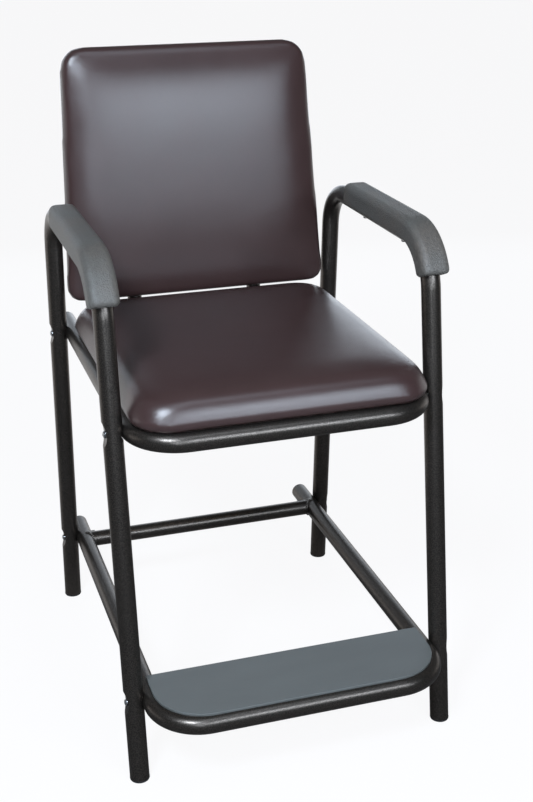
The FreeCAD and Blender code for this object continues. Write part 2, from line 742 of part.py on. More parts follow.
def offset_terms(base, grow, lower, upper):
    """Outline grown outward by an amount, with its own corner radii."""
    return {
        "low": "%s - (%s)" % (base["low"], grow),
        "high": "%s + (%s)" % (base["high"], grow),
        "reach": "%s + (%s)" % (base["reach"], grow),
        "taper": base["taper"],
        "lower_radius": lower,
        "upper_radius": upper,
    }


def cushion_loft(name, role, start, base, sections):
    """Crowned cushion through outlines at growing heights."""
    body = doc.addObject("PartDesign::Body", name)
    sketches = []
    for index, (rise, grow) in enumerate(sections):
        sketch = body_sketch(body, "%s_line_%d" % (name, index), role, "%s + %s" % (start, rise))
        lower = max(number(base["lower_radius"]) + grow, SMALL_CORNER)
        upper = max(number(base["upper_radius"]) + grow, SMALL_CORNER)
        outline(sketch, offset_terms(base, grow, str(lower), str(upper)))
        sketches.append(sketch)
    doc.recompute()
    feature = body.newObject("PartDesign::AdditiveLoft", name + "_loft")
    feature.Profile = sketches[0]
    feature.Sections = sketches[1:]
    feature.Ruled = True
    doc.recompute()
    return body


def slab(name, role, start, base, grow, lower, upper, thick):
    """Plain slab with a grown outline."""
    body = doc.addObject("PartDesign::Body", name)
    sketch = body_sketch(body, name + "_outline", role, start)
    outline(sketch, offset_terms(base, grow, lower, upper))
    doc.recompute()
    pad_feature(body, name + "_sheet", sketch, thick)
    return body


SMALL_CORNER = 24.0

# Seat: board on the tabs, foam with a crown, cover that wraps both.
seat_base = {
    "low": "dims.seat_front",
    "high": "dims.seat_rear",
    "reach": "dims.seat_half",
    "taper": "0",
    "lower_radius": "58",
    "upper_radius": "45",
}
seat_board_base = offset_terms(seat_base, "-dims.board_inset", "57", "44")
seat_board = board(
    "seat_board",
    "XY_Plane",
    SEAT_Z + " + dims.hem",
    "dims.seat_board_thick",
    seat_board_base,
    SEAT_SPOTS,
    False,
)
SEAT_COVER = [
    ("0", 0.0),
    ("7", 3.0),
    ("18", 5.2),
    ("28", 4.5),
    ("37", 0.0),
    ("44", -8.0),
    ("49.5", -22.0),
    ("53", -45.0),
    ("55.5", -90.0),
]
SEAT_FOAM = [
    ("dims.hem + dims.seat_board_thick", 3.0),
    ("18", 4.0),
    ("28", 3.3),
    ("36.4", -1.2),
    ("43.2", -9.0),
    ("48.4", -23.0),
    ("51.8", -46.0),
    ("54.3", -91.0),
]
seat_foam = cushion_loft("seat_foam", "XY_Plane", SEAT_Z, seat_base, SEAT_FOAM)
node(seat_foam, "seat_foam")
seat_skin = cushion_loft("seat_skin", "XY_Plane", SEAT_Z, seat_base, SEAT_COVER)
seat_void = slab(
    "seat_void", "XY_Plane", SEAT_Z + " + dims.hem", seat_base, "-dims.board_inset + 0.1", "57", "44",
    "dims.seat_board_thick"
)
seat_open = slab("seat_open", "XY_Plane", SEAT_Z + " - 1", seat_base, "-32", "40", "30", "4")
seat_tools = [seat_void, seat_foam, seat_open]
for index, (across, along) in enumerate(SEAT_SPOTS):
    at = [across, along, SEAT_Z + " - 2"]
    seat_tools.append(cylinder("seat_hem_hole_%d" % index, "z", "dims.screw_hole", "5", at))
node(cut("seat_cover", seat_skin, fuse("seat_cover_tools", seat_tools)), "seat_cover")
doc.recompute()

# Backrest: rear panel on the posts, board, foam with a crown, cover.
back_base = {
    "low": "dims.back_low",
    "high": "dims.back_high",
    "reach": "dims.back_half * cos(dims.back_taper)",
    "taper": "dims.back_taper",
    "lower_radius": "25",
    "upper_radius": "36",
}
BACK_SPOTS = []
for height in ("dims.post_screw_low", "dims.post_screw_high"):
    BACK_SPOTS.append(("dims.post_half", height))
    BACK_SPOTS.append(("-dims.post_half", height))
panel = slab("back_rear_panel", "XZ_Plane", "0", back_base, "-4", "21", "32", "dims.panel_thick")
panel_holes = body_sketch(panel, "panel_holes", "XZ_Plane", "0")
circles(panel_holes, BACK_SPOTS, "dims.screw_hole")
doc.recompute()
pocket_feature(panel, "panel_drill", panel_holes, "dims.panel_thick", True)
lean_body(panel)
node(panel, "back_rear_panel")
back_board_base = offset_terms(back_base, "-dims.board_inset", "24", "35")
back_board = board(
    "back_board",
    "XZ_Plane",
    "dims.panel_thick + dims.hem",
    "dims.back_board_thick",
    back_board_base,
    BACK_SPOTS,
    True,
)
BACK_COVER = [
    ("0", 0.0),
    ("5", 1.8),
    ("13", 3.0),
    ("20", 2.6),
    ("27", -1.0),
    ("32.5", -8.0),
    ("37", -20.0),
    ("40", -38.0),
    ("42.5", -75.0),
]
BACK_FOAM = [
    ("dims.hem + dims.back_board_thick", 1.6),
    ("20", 1.4),
    ("26.4", -2.2),
    ("31.8", -9.0),
    ("36", -21.0),
    ("38.9", -39.0),
    ("41.3", -76.0),
]
back_foam = cushion_loft("back_foam", "XZ_Plane", "dims.panel_thick", back_base, BACK_FOAM)
lean_body(back_foam)
node(back_foam, "back_foam")
back_skin = cushion_loft("back_skin", "XZ_Plane", "dims.panel_thick", back_base, BACK_COVER)
back_void = slab(
    "back_void", "XZ_Plane", "dims.panel_thick + dims.hem", back_base, "-dims.board_inset + 0.1", "24", "35",
    "dims.back_board_thick"
)
back_open = slab("back_open", "XZ_Plane", "dims.panel_thick - 1", back_base, "-32", "20", "24", "4")
for body in (back_skin, back_void, back_open):
    lean_body(body)
doc.recompute()
back_tools = fuse("back_cover_tools", [back_void, back_foam, back_open])
node(cut("back_cover", back_skin, back_tools), "back_cover")
doc.recompute()

# Arm pads: moulded over the top of the arm and round the front bend.
BEND_Y = "dims.front_foot_y + tan(dims.front_lean) * dims.arm_z"
BEND_Y += " + dims.front_bend / tan(45 + dims.front_lean / 2)"
BEND_Z = "dims.arm_z - dims.front_bend"
PAD_END_Y = BEND_Y + " - dims.front_bend * cos(dims.pad_end)"
PAD_END_Z = BEND_Z + " + dims.front_bend * sin(dims.pad_end)"
bend_centre = Vec(number(BEND_Y), number(BEND_Z), 0)
pad_top = Vec(bend_centre.x, arm_z, 0)
pad_tip = Vec(number(PAD_END_Y), number(PAD_END_Z), 0)
pad_back = Vec(size("pad_rear"), arm_z, 0)
pad_path = doc.addObject("Sketcher::SketchObject", "pad_path")
pad_path.Placement = Place(Vec(size("leg_half"), 0, 0), SIDE_VIEW)
pad_path.setExpression("Placement.Base.x", "dims.leg_half")
pad_path.addGeometry(arc(bend_centre, pad_top, pad_tip, size("front_bend")), False)
pad_path.addGeometry(Part.LineSegment(pad_top, pad_back), False)
pad_path.addConstraint(Rule("Tangent", 1, 1, 0, 1))
pad_path.addConstraint(Rule("Horizontal", 1))
hold(pad_path, Rule("Radius", 0, size("front_bend")), "dims.front_bend")
hold(pad_path, Rule("DistanceX", -1, 1, 0, 3, bend_centre.x), BEND_Y)
hold(pad_path, Rule("DistanceY", -1, 1, 1, 1, arm_z), "dims.arm_z")
hold(pad_path, Rule("DistanceX", -1, 1, 1, 2, pad_back.x), "dims.pad_rear")
hold(pad_path, Rule("DistanceY", -1, 1, 0, 2, pad_tip.y), PAD_END_Z)
pad_section = doc.addObject("Sketcher::SketchObject", "pad_section")
pad_terms = {
    "low": "dims.pad_low - dims.pad_skirt",
    "high": "dims.pad_high",
    "reach": "dims.pad_half",
    "taper": "0",
    "lower_radius": "8",
    "upper_radius": "12",
}
outline(pad_section, pad_terms)
pad_section.Placement = Place(Vec(), Turn(Vec(1, 0, 0), 170))
bind(pad_section, {"Placement.Rotation.Angle": "180 - dims.pad_end"})
bind(pad_section, at_terms(["dims.leg_half", PAD_END_Y, PAD_END_Z]))
doc.recompute()
pad_block = sweep("pad_block", pad_section, pad_path, 2)
doc.recompute()
tip_way = Vec(0, math.sin(math.radians(size("pad_end"))), math.cos(math.radians(size("pad_end"))))
tip_point = Vec(size("leg_half"), pad_tip.x, pad_tip.y)
end_edges = []
for index, edge in enumerate(pad_block.Shape.Edges, start=1):
    ends = [spot.Point for spot in edge.Vertexes]
    at_rear = all(abs(spot.y - size("pad_rear")) < 0.01 for spot in ends)
    at_tip = all(abs((spot - tip_point).dot(tip_way)) < 0.01 for spot in ends)
    if at_rear or at_tip:
        end_edges.append((index, size("pad_round"), size("pad_round")))
pad_rounded = doc.addObject("Part::Fillet", "pad_rounded")
pad_rounded.Base = pad_block
pad_rounded.Edges = end_edges
under_at = ["dims.leg_half - 40", BEND_Y, BEND_Z]
under_bend = cylinder("pad_under_bend", "x", "dims.front_bend + dims.pad_low", "80", under_at)
under_sizes = ["80", "400", "60"]
under_box_at = ["dims.leg_half - 40", BEND_Y, "dims.arm_z + dims.pad_low - 60"]
under_arm = box("pad_under_arm", under_sizes, under_box_at)
pad_tools = [side_clear, under_bend, under_arm]
for spot in ("front", "rear"):
    at = ["dims.leg_half", "dims.pad_screw_" + spot, "dims.arm_z"]
    pad_tools.append(cylinder("pad_drill_" + spot, "z", "dims.thin_hole", "27", at))
pad_cut = cut("right_arm_pad", pad_rounded, fuse("pad_tools", pad_tools))
right_arm_pad = node(pad_cut, "right_arm_pad")
mirrored(right_arm_pad, "left_arm_pad")
doc.recompute()

# Leg glides: a rim under the tube and a stem inside it.
GLIDE = [
    ("0", "0"),
    ("dims.glide_radius - 2.2", "0"),
    ("dims.glide_radius - 0.6", "0.8"),
    ("dims.glide_radius", "2.2"),
    ("dims.glide_radius", "dims.glide_rim"),
    ("0", "dims.glide_rim"),
]
for end, sign in (("front", "+"), ("rear", "-")):
    rim = revolved("glide_rim_" + end, GLIDE)
    foot = "dims.%s_foot_y %s tan(dims.%s_lean) * " % (end, sign, end)
    bind(rim, at_terms(["dims.leg_half", foot + "2", "0"]))
    angle = "-dims.front_lean" if end == "front" else "dims.rear_lean"
    stem_at = ["dims.leg_half", foot + "3", "3"]
    stem = tilted_cylinder("glide_stem_" + end, "dims.stem_radius", "22", stem_at, angle)
    label = "right_%s_glide" % end
    glide = node(fuse(label, [rim, stem]), label)
    mirrored(glide, "left_%s_glide" % end)
doc.recompute()

# Plugs in the open tube ends.
plug = revolved("plug", [
    ("0", "dims.plug_rim"),
    ("dims.tube_radius - 1.6", "dims.plug_rim"),
    ("dims.tube_radius - 0.1", "dims.plug_rim - 1.5"),
    ("dims.tube_radius - 0.1", "0"),
    ("dims.stem_radius", "0"),
    ("dims.stem_radius", "-14"),
    ("0", "-14"),
])
small_plug = revolved("small_plug", [
    ("0", "2.5"),
    ("dims.post_radius - 1.4", "2.5"),
    ("dims.post_radius - 0.1", "1.2"),
    ("dims.post_radius - 0.1", "0"),
    ("dims.post_radius - dims.post_wall - 0.2", "0"),
    ("dims.post_radius - dims.post_wall - 0.2", "-12"),
    ("0", "-12"),
])
SIDES = (1, -1)
TO_REAR = Turn(Vec(1, 0, 0), -90)
TO_FRONT = Turn(Vec(1, 0, 0), 90)
DOWN = Turn(Vec(1, 0, 0), 180)
for level in ("seat", "foot"):
    copies = []
    for side in SIDES:
        end = Vec(side * size("frame_half"), size(level + "_frame_rear"), size(level + "_frame_z"))
        copies.append((plug, Place(end, TO_REAR)))
    group(level + "_frame_plugs", copies)
copies = []
for side in SIDES:
    across = side * size("post_half")
    behind = size("post_radius")
    top = Place(Vec(across, behind, size("post_high")), Turn())
    foot = Place(Vec(across, behind, size("post_low")), DOWN)
    copies.append((small_plug, lean.multiply(top)))
    copies.append((small_plug, lean.multiply(foot)))
group("back_post_plugs", copies)

# Frame bolts in the dimples and nuts on the inner side.
bolt_blank = revolved("bolt_blank", [
    ("0", "-dims.bolt_length"),
    ("dims.bolt_radius", "-dims.bolt_length"),
    ("dims.bolt_radius", "0"),
    ("dims.bolt_head", "0"),
    ("dims.bolt_head", "1"),
    ("dims.bolt_head - 1.3", "2.7"),
    ("dims.bolt_head - 3.2", "3.4"),
    ("0", "3.4"),
])
socket = doc.addObject("Part::Prism", "bolt_socket")
socket.Polygon = 6
bind(socket, {"Circumradius": "2.3", "Height": "3", "Placement.Base.z": "1.4"})
bolt = cut("bolt", bolt_blank, socket)
nut_blank = doc.addObject("Part::Prism", "nut_blank")
nut_blank.Polygon = 6
bind(nut_blank, {"Circumradius": "dims.nut_radius", "Height": "dims.nut_height"})
nut_bore = cylinder("nut_bore", "z", "dims.bolt_radius + 0.1", "dims.nut_height + 2", ["0", "0", "-1"])
nut = cut("nut", nut_blank, nut_bore)
doc.recompute()
head_x = size("leg_half") + size("tube_radius") - size("dimple_depth") + 0.5
nut_x = size("frame_half") - size("tube_radius") - 0.1
for level in ("seat", "foot"):
    bolts = []
    nuts = []
    for spot, along, height in JOINTS:
        if not spot.startswith(level):
            continue
        inset = 1.6 if spot == "seat_front" else 0.0
        for side in SIDES:
            outward = Turn(Vec(0, 1, 0), 90 * side)
            inward = Turn(Vec(0, 1, 0), -90 * side)
            head = Vec(side * head_x, number(along), number(height))
            face = Vec(side * (nut_x - inset), number(along), number(height))
            bolts.append((bolt, Place(head, outward)))
            nuts.append((nut, Place(face, inward)))
    group(level + "_frame_bolts", bolts)
    group(level + "_frame_nuts", nuts)


def screw(name, radius, length, head, rise):
    """Pan head screw: head below zero, shank upward."""
    return revolved(name, [
        ("0", "-(%s)" % rise),
        ("%s - 0.6" % head, "-(%s)" % rise),
        (head, "-(%s) + 1" % rise),
        (head, "0"),
        (radius, "0"),
        (radius, length),
        ("0", length),
    ])


tee_nut = revolved("tee_nut", [
    ("dims.screw_radius + 0.2", "-9.5"),
    ("dims.barrel_radius", "-9.5"),
    ("dims.barrel_radius", "-dims.flange_thick"),
    ("dims.flange_radius", "-dims.flange_thick"),
    ("dims.flange_radius", "0"),
    ("dims.screw_radius + 0.2", "0"),
])
seat_screw = screw("seat_screw", "dims.screw_radius", "13.5", "5", "3.5")
back_screw = screw("back_screw", "dims.screw_radius", "2 * dims.post_radius + 13.5", "5", "3.5")
arm_screw = screw("arm_screw", "dims.thin_screw", "40", "4.5", "3")
plate_screw = screw("plate_screw", "dims.thin_screw", "4.8", "4.5", "3")
tab_z = number(SEAT_Z) - size("tab_thick")
flange_z = number(SEAT_Z) + size("hem") + size("seat_board_thick")
spots = [Vec(number(across), number(along), 0) for across, along in SEAT_SPOTS]
group("seat_screws", [(seat_screw, Place(spot.add(Vec(0, 0, tab_z)), Turn())) for spot in spots])
group("seat_tee_nuts", [(tee_nut, Place(spot.add(Vec(0, 0, flange_z)), Turn())) for spot in spots])
plate_tab_z = number(PLATE_Z) - size("tab_thick")
spots = [Vec(number(across), number(along), plate_tab_z) for across, along in PLATE_SPOTS]
group("foot_plate_screws", [(plate_screw, Place(spot, Turn())) for spot in spots])
screws = []
tee_nuts = []
flange_depth = size("panel_thick") + size("hem") + size("back_board_thick")
for across, height in BACK_SPOTS:
    behind = Vec(number(across), 2 * size("post_radius"), number(height))
    inside = Vec(number(across), -flange_depth, number(height))
    screws.append((back_screw, lean.multiply(Place(behind, TO_FRONT))))
    tee_nuts.append((tee_nut, lean.multiply(Place(inside, TO_FRONT))))
group("back_screws", screws)
group("back_tee_nuts", tee_nuts)
screws = []
for side in SIDES:
    for spot in ("front", "rear"):
        under = Vec(side * size("leg_half"), size("pad_screw_" + spot), arm_z - size("tube_radius"))
        screws.append((arm_screw, Place(under, Turn())))
group("arm_pad_screws", screws)

doc.removeObject("scrap")
doc.recompute()
for item in doc.Objects:
    if "Invalid" in item.State or "Error" in item.State:
        raise RuntimeError("failed object: " + item.Label)
os.makedirs("parts", exist_ok=True)
for label, item in nodes.items():
    shape = item.Shape
    if shape.isNull() or not shape.isValid() or not shape.Solids:
        raise RuntimeError("bad shape: " + label)
    shape.exportStep("parts/%s.step" % label)
    print(label, len(shape.Solids), round(shape.Volume))
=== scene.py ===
import math

import bmesh
import bpy
from bpy.props import FloatProperty, FloatVectorProperty, IntProperty, PointerProperty
from mathutils import Matrix, Vector


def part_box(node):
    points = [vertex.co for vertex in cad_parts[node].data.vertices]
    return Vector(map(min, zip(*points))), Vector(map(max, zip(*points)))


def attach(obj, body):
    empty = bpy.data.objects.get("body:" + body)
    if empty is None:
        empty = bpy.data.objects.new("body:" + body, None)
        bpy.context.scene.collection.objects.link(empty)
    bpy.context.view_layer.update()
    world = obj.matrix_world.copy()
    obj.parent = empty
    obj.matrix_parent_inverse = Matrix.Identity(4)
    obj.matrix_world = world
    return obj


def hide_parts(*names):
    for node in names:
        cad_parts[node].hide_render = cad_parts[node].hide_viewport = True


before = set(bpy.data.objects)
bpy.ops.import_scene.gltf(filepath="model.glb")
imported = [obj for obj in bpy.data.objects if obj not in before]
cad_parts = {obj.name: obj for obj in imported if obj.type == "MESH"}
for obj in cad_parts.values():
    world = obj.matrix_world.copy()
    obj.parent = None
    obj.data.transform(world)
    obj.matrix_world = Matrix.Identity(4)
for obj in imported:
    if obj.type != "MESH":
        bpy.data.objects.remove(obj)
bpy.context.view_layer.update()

bl_info = {
    "name": "High hip chair looks",
    "version": (1, 0, 0),
    "blender": (4, 5, 0),
    "location": "View3D > Sidebar > Hip Chair",
    "description": "Dresses the solids of a high hip chair and sets up its studio",
    "category": "Object",
}

BODY = "root"

# Nodes that keep their solids, by kind
BENT_TUBES = ("right_side_tube", "left_side_tube", "seat_frame_tube", "foot_frame_tube")
STRAIGHT_TUBES = (
    "seat_frame_crossbar",
    "foot_frame_crossbar",
    "right_back_post",
    "left_back_post",
)
SMALL_STEEL = ("plate_tabs", "seat_tabs")
PLASTIC = (
    "right_front_glide",
    "left_front_glide",
    "right_rear_glide",
    "left_rear_glide",
    "seat_frame_plugs",
    "foot_frame_plugs",
    "back_post_plugs",
)
FASTENERS = (
    "seat_frame_bolts",
    "seat_frame_nuts",
    "foot_frame_bolts",
    "foot_frame_nuts",
    "seat_screws",
    "seat_tee_nuts",
    "foot_plate_screws",
    "back_screws",
    "back_tee_nuts",
    "arm_pad_screws",
)


# Shader nodes


class Value:
    """Output socket of a node tree; arithmetic on it adds Math nodes."""

    def __init__(self, nodes, socket):
        self.nodes = nodes
        self.socket = socket

    def maths(self, operation, other):
        """Math node with this value first."""
        return self.nodes.add("ShaderNodeMath", {"operation": operation}, {0: self, 1: other})

    def __add__(self, other):
        return self.maths("ADD", other)

    __radd__ = __add__

    def __mul__(self, other):
        return self.maths("MULTIPLY", other)

    def larger(self, other):
        """The larger of two values."""
        return self.maths("MAXIMUM", other)


class Nodes:
    """A node tree, with methods that add nodes to it."""

    def __init__(self, tree):
        self.tree = tree

    def add(self, kind, settings=None, inputs=None, output=0):
        """Adds a node: its settings first, then the values or links of its sockets."""
        node = self.tree.nodes.new(kind)
        for name, value in (settings or {}).items():
            if name == "stops":
                self.fill_ramp(node.color_ramp, value)
            else:
                setattr(node, name, value)
        for key, value in (inputs or {}).items():
            self.plug(node.inputs[key], value)
        return Value(self, node.outputs[output])

    def plug(self, socket, value):
        """Links a value to a socket, or sets the socket's own number or colour."""
        if isinstance(value, Value):
            self.tree.links.new(value.socket, socket)
        else:
            socket.default_value = value

    def fill_ramp(self, ramp, stops):
        """Sets the stops of a colour ramp."""
        while len(ramp.elements) < len(stops):
            ramp.elements.new(1.0)
        for element, (place, shade) in zip(ramp.elements, stops):
            element.position = place
            element.color = (shade, shade, shade, 1.0)

    def place(self, scale=(1.0, 1.0, 1.0), turn=(0.0, 0.0, 0.0)):
        """Object coordinates, stretched and turned."""
        coordinates = self.add("ShaderNodeTexCoord", output="Object")
        inputs = {"Vector": coordinates, "Scale": scale, "Rotation": turn}
        return self.add("ShaderNodeMapping", None, inputs)

    def noise(self, place, scale, detail=2.0, roughness=0.5):
        """Soft noise between 0 and 1."""
        inputs = {"Vector": place, "Scale": scale, "Detail": detail, "Roughness": roughness}
        return self.add("ShaderNodeTexNoise", None, inputs)

    def cells(self, place, scale, feature="F1"):
        """Cell pattern, as in grain."""
        inputs = {"Vector": place, "Scale": scale}
        return self.add("ShaderNodeTexVoronoi", {"feature": feature}, inputs)

    def steps(self, value, stops):
        """Maps a value through a ramp of (place, shade) stops."""
        return self.add("ShaderNodeValToRGB", {"stops": stops}, {"Fac": value})

    def tint(self, share, first, second):
        """Mix of two colours."""
        settings = {"data_type": "RGBA", "blend_type": "MIX"}
        return self.add("ShaderNodeMix", settings, {0: share, 6: first, 7: second}, 2)

    def bump(self, height, strength, distance, normal=None):
        """Bump whose height, from 0 to 1, stands for distance in metres."""
        inputs = {"Height": height, "Strength": strength, "Distance": distance}
        if normal is not None:
            inputs["Normal"] = normal
        return self.add("ShaderNodeBump", None, inputs)


class Finish(Nodes):
    """A material with one principled shader."""

    def __init__(self, name):
        self.material = bpy.data.materials.new(name)
        self.material.use_nodes = True
        super().__init__(self.material.node_tree)
        self.shader = self.tree.nodes["Principled BSDF"]

    def surface(self, **inputs):
        """Sets or links sockets of the shader, named with _ for a space."""
        for name, value in inputs.items():
            words = " ".join(word.capitalize() for word in name.split("_"))
            self.plug(self.shader.inputs[words.replace("Ior", "IOR")], value)
        return self.material


def colour(shade, share=1.0):
    """Colour with alpha from a colour property, made lighter or darker."""
    return (shade[0] * share, shade[1] * share, shade[2] * share, 1.0)


# Settings


def colour_setting(name, description, default):
    """Colour property."""
    return FloatVectorProperty(
        name=name,
        description=description,
        subtype="COLOR",
        size=3,
        min=0.0,
        max=1.0,
        default=default,
    )


def power_setting(name, description, default):
    """Power of a lamp, in watts."""
    return FloatProperty(
        name=name,
        description=description,
        subtype="POWER",
        min=0.0,
        max=500.0,
        default=default,
    )


class ChairColours(bpy.types.PropertyGroup):
    """Colours of the finishes."""

    vinyl: colour_setting(
        "Vinyl", "Cover of the seat and the backrest", (0.042, 0.0225, 0.0215)
    )
    paint: colour_setting("Frame paint", "Powder coat of the tubes", (0.080, 0.070, 0.062))
    pad: colour_setting("Arm pads", "Moulded skin of the arm pads", (0.112, 0.103, 0.093))
    plate: colour_setting("Foot plate", "Laminate of the foot plate", (0.100, 0.106, 0.103))
    plastic: colour_setting(
        "Glides and plugs", "Moulded glides and tube plugs", (0.016, 0.016, 0.017)
    )
    zinc: colour_setting(
        "Fasteners", "Zinc plate of bolts, nuts and screws", (0.60, 0.61, 0.63)
    )
    wood: colour_setting("Boards", "Plywood under the cushions", (0.42, 0.29, 0.17))


class ChairCushions(bpy.types.PropertyGroup):
    """Sizes of the cushions and the way they are stuffed."""

    voxel: FloatProperty(
        name="Voxel",
        description="Mesh size of the cushion skins before they swell",
        subtype="DISTANCE",
        default=0.0055,
        min=0.003,
        max=0.01,
    )
    pressure: FloatProperty(
        name="Pressure",
        description="Push of the foam on the cover",
        default=4.0,
        min=0.0,
        max=20.0,
    )
    steps: IntProperty(
        name="Steps",
        description="Simulated steps while the cover swells",
        default=20,
        min=1,
        max=60,
    )
    seat_cap: FloatProperty(
        name="Seat swell",
        description="Most that the seat cover may move",
        subtype="DISTANCE",
        default=0.0018,
        min=0.0,
        max=0.03,
    )
    back_cap: FloatProperty(
        name="Back swell",
        description="Most that the backrest cover may move",
        subtype="DISTANCE",
        default=0.0015,
        min=0.0,
        max=0.03,
    )
    pad_voxel: FloatProperty(
        name="Pad voxel",
        description="Mesh size of the arm pads",
        subtype="DISTANCE",
        default=0.0018,
        min=0.001,
        max=0.005,
    )


class ChairStage(bpy.types.PropertyGroup):
    """Camera, lamps and floor."""

    camera_place: FloatVectorProperty(
        name="Camera",
        description="Place of the camera",
        subtype="TRANSLATION",
        size=3,
        default=(-0.56202, -1.89132, 1.27823),
    )
    camera_turn: FloatVectorProperty(
        name="Camera turn",
        description="Yaw, pitch down and roll of the camera",
        subtype="EULER",
        size=3,
        default=(0.30909, 0.3819, -0.0038),
    )
    lens: FloatProperty(
        name="Lens",
        description="Focal length for a 36 mm long side",
        default=58.618,
        min=10.0,
        max=300.0,
    )
    floor: colour_setting("Floor", "Colour of the floor and the backdrop", (0.985, 0.985, 0.995))
    ambient: FloatProperty(
        name="Ambient",
        description="Strength of the light from all round",
        default=0.09,
        min=0.0,
        max=2.0,
    )
    front_dim: FloatProperty(
        name="Front",
        description="Brightness of the studio in front of the chair, as seen in reflections",
        default=0.07,
        min=0.0,
        max=1.0,
    )
    key_power: power_setting("Key box", "Soft box high at the front left", 92.0)
    left_power: power_setting("Left box", "Narrow soft box behind the camera", 15.0)
    right_power: power_setting("Right box", "Soft box at the front right", 23.0)
    overhead_power: power_setting("Overhead box", "Soft box above the chair's front", 15.0)
    rear_power: power_setting("Rear box", "Large weak soft box behind the chair", 22.0)
    light: colour_setting("Light", "Colour of the lamps", (0.76, 0.87, 1.0))


class ChairSettings(bpy.types.PropertyGroup):
    """All settings of the chair."""

    colours: PointerProperty(type=ChairColours)
    cushions: PointerProperty(type=ChairCushions)
    stage: PointerProperty(type=ChairStage)


# Finishes


def vinyl_finish(name, base, grain=1.0):
    """Smooth upholstery vinyl: fine grain, soft uneven sheen."""
    finish = Finish(name)
    place = finish.place()
    cloud = finish.noise(place, scale=14.0, detail=3.0)
    fine = finish.noise(place, scale=420.0, detail=2.0)
    cell = finish.cells(place, scale=1050.0, feature="DISTANCE_TO_EDGE")
    shade = finish.steps(cloud * 0.7 + fine * 0.3, [(0.3, 0.0), (0.7, 1.0)])
    crease = finish.steps(cell, [(0.0, 0.0), (0.22, 1.0)])
    waves = finish.bump(cloud, strength=0.10, distance=0.004)
    leather = crease * 0.8 + fine * 0.6
    skin = finish.bump(leather, strength=0.16 * grain, distance=0.00025, normal=waves)
    return finish.surface(
        base_color=finish.tint(shade, colour(base, 0.90), colour(base, 1.10)),
        roughness=0.26 + cloud * 0.05 + fine * 0.04,
        normal=skin,
        specular_ior_level=0.68,
    )


def paint_finish(name, base):
    """Metallic powder coat: flakes, orange peel, soft gloss."""
    finish = Finish(name)
    place = finish.place()
    flakes = finish.cells(place, scale=1500.0)
    speck = finish.noise(place, scale=720.0, detail=1.5)
    cloud = finish.noise(place, scale=30.0, detail=3.0)
    peel = finish.noise(place, scale=360.0, detail=2.0)
    sparkle = finish.steps(speck, [(0.38, 0.0), (0.64, 1.0)])
    shade = finish.tint(sparkle, colour(base, 0.70), colour(base, 1.55))
    bump = finish.bump(peel * 0.7 + flakes * 0.3, strength=0.22, distance=0.0003)
    return finish.surface(
        base_color=shade,
        metallic=0.86 + sparkle * 0.1,
        roughness=0.28 + cloud * 0.05 + speck * 0.06,
        normal=bump,
        specular_ior_level=0.5,
    )


def weld_finish(name, base):
    """Painted weld bead with ripples."""
    finish = Finish(name)
    place = finish.place()
    ripple = finish.add(
        "ShaderNodeTexWave",
        {"wave_type": "BANDS", "bands_direction": "DIAGONAL"},
        {"Vector": place, "Scale": 130.0, "Distortion": 2.5, "Detail": 1.0},
    )
    lump = finish.noise(place, scale=220.0, detail=3.0)
    bump = finish.bump(ripple * 0.6 + lump * 0.6, strength=0.5, distance=0.0006)
    return finish.surface(
        base_color=finish.tint(lump, colour(base, 0.8), colour(base, 1.5)),
        metallic=0.85,
        roughness=0.32 + lump * 0.10,
        normal=bump,
        specular_ior_level=0.4,
    )


def pad_finish(name, base):
    """Moulded foam skin: fine pebbles, slightly mottled."""
    finish = Finish(name)
    place = finish.place()
    pebble = finish.cells(place, scale=480.0)
    fine = finish.noise(place, scale=900.0, detail=2.0)
    mottle = finish.noise(place, scale=230.0, detail=4.0, roughness=0.7)
    cloud = finish.noise(place, scale=16.0, detail=2.0)
    warm = (base[0] * 1.06, base[1] * 0.99, base[2] * 0.94, 1.0)
    cool = (base[0] * 0.94, base[1] * 1.01, base[2] * 1.03, 1.0)
    hue = finish.tint(finish.steps(cloud, [(0.38, 0.0), (0.62, 1.0)]), cool, warm)
    pits = finish.steps(pebble, [(0.15, 1.0), (0.75, 0.0)])
    blotch = finish.steps(mottle, [(0.3, 0.0), (0.7, 1.0)])
    shade = finish.tint(blotch, colour(base, 0.62), hue)
    bump = finish.bump(pits * 0.8 + fine * 0.4 + mottle * 0.6, strength=0.6, distance=0.0007)
    return finish.surface(
        base_color=shade,
        roughness=0.44 + mottle * 0.14,
        normal=bump,
        specular_ior_level=0.5,
    )


def plate_finish(name, base):
    """Satin laminate with a fine even grain and a few rub marks."""
    finish = Finish(name)
    place = finish.place()
    slanted = finish.place(scale=(9.0, 30.0, 1.0), turn=(0.0, 0.0, 0.2))
    rub = finish.noise(slanted, scale=1.0, detail=5.0, roughness=0.6)
    grain = finish.cells(place, scale=900.0)
    fine = finish.noise(place, scale=600.0, detail=3.0)
    shade = finish.tint(rub, colour(base, 0.86), colour(base, 1.12))
    bump = finish.bump(grain * 0.6 + fine * 0.5, strength=0.18, distance=0.0003)
    return finish.surface(
        base_color=shade,
        roughness=0.40 + rub * 0.12 + fine * 0.05,
        normal=bump,
        specular_ior_level=0.5,
    )


def plastic_finish(name, base):
    """Moulded black plastic with scuffs."""
    finish = Finish(name)
    place = finish.place()
    scuff = finish.noise(place, scale=240.0, detail=4.0, roughness=0.65)
    grain = finish.noise(place, scale=1200.0, detail=2.0)
    worn = finish.steps(scuff, [(0.45, 0.0), (0.8, 1.0)])
    shade = finish.tint(worn, colour(base), colour(base, 2.2))
    return finish.surface(
        base_color=shade,
        roughness=0.42 + scuff * 0.2,
        normal=finish.bump(grain + scuff, strength=0.12, distance=0.0003),
    )


